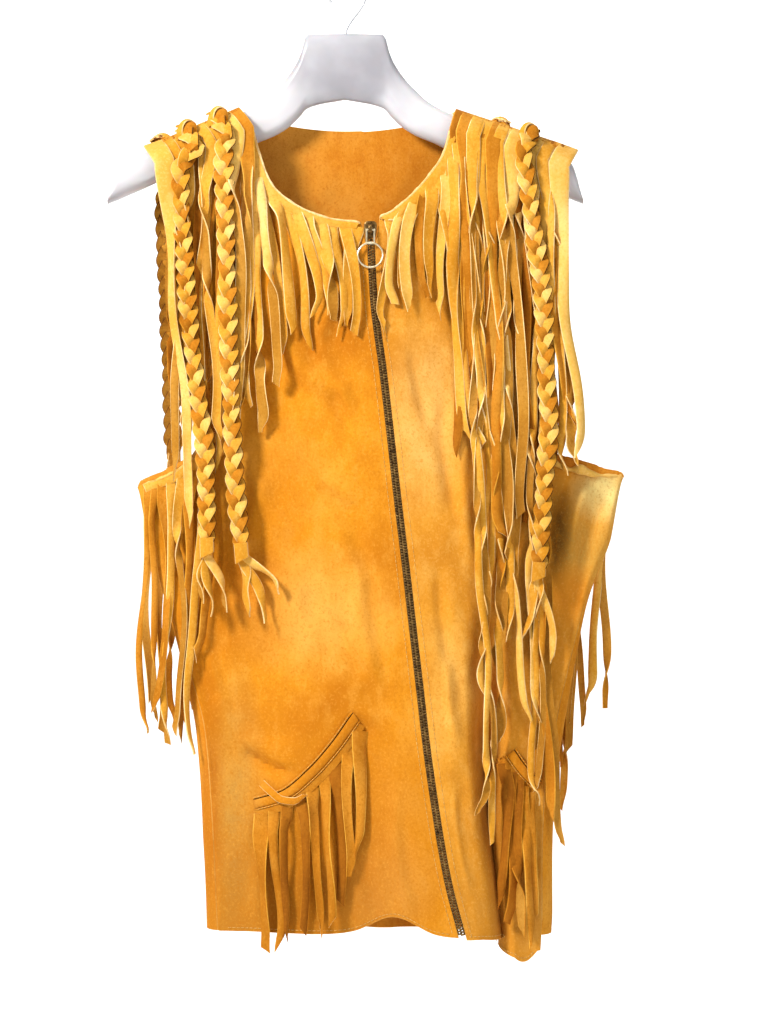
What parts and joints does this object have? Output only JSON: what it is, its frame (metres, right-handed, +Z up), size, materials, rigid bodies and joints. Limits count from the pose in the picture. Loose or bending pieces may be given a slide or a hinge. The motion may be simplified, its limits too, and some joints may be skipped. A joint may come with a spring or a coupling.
{
  "type": "fringed suede vest on a contour hanger",
  "caption": "Long sleeveless suede vest with a front zip, hanging on a moulded hanger, with cut fringe and braids at neck, shoulders, armholes and pockets.",
  "frame": {"origin": "the top inside the bow of the hanger's hook, where a rail carries it", "axes": "+Z up, the front of the vest faces -Y, and the wearer's left is towards +X"},
  "size_m": [0.481, 0.0868, 0.9252],
  "materials": {
    "suede_body": "golden tan suede nap",
    "suede_fringe": "cut suede with pale edges",
    "zip_metal": "dark antique bronze",
    "ring_metal": "pale worn gilt",
    "zip_tape": "woven brown tape",
    "hanger_plastic": "satin grey",
    "hook_steel": "bright wire"
  },
  "bodies": {
    "vest": {"hanger_body": "hanger_plastic", "hanger_hook": "hook_steel", "front_right": "suede_body", "front_left": "suede_body", "back": "suede_body", "zip_tape_right": "zip_tape", "zip_tape_left": "zip_tape", "zip_chain": "zip_metal", "zip_slider": "zip_metal", "pocket_welt_right": "suede_body", "pocket_welt_left": "suede_body", "pocket_loop_right": "suede_body", "neck_fringe_right": "suede_fringe", "pocket_fringe_right": "suede_fringe", "neck_fringe_left": "suede_fringe", "pocket_fringe_left": "suede_fringe", "shoulder_fringe_front_right": "suede_fringe", "armhole_fringe_front_right": "suede_fringe", "shoulder_fringe_front_left": "suede_fringe", "armhole_fringe_front_left": "suede_fringe", "shoulder_fringe_back_right": "suede_fringe", "armhole_fringe_back_right": "suede_fringe", "shoulder_fringe_back_left": "suede_fringe", "armhole_fringe_back_left": "suede_fringe"},
    "zip_pull": {"zip_pull": "ring_metal"}
  },
  "joints": [
    {"name": "pull_hinge", "type": "hinge", "parent": "vest", "child": "zip_pull", "pos_m": [0.02332, -0.03079, -0.2473], "axis": [-1, 0, 0], "range_deg": [0, 170]}
  ]
}
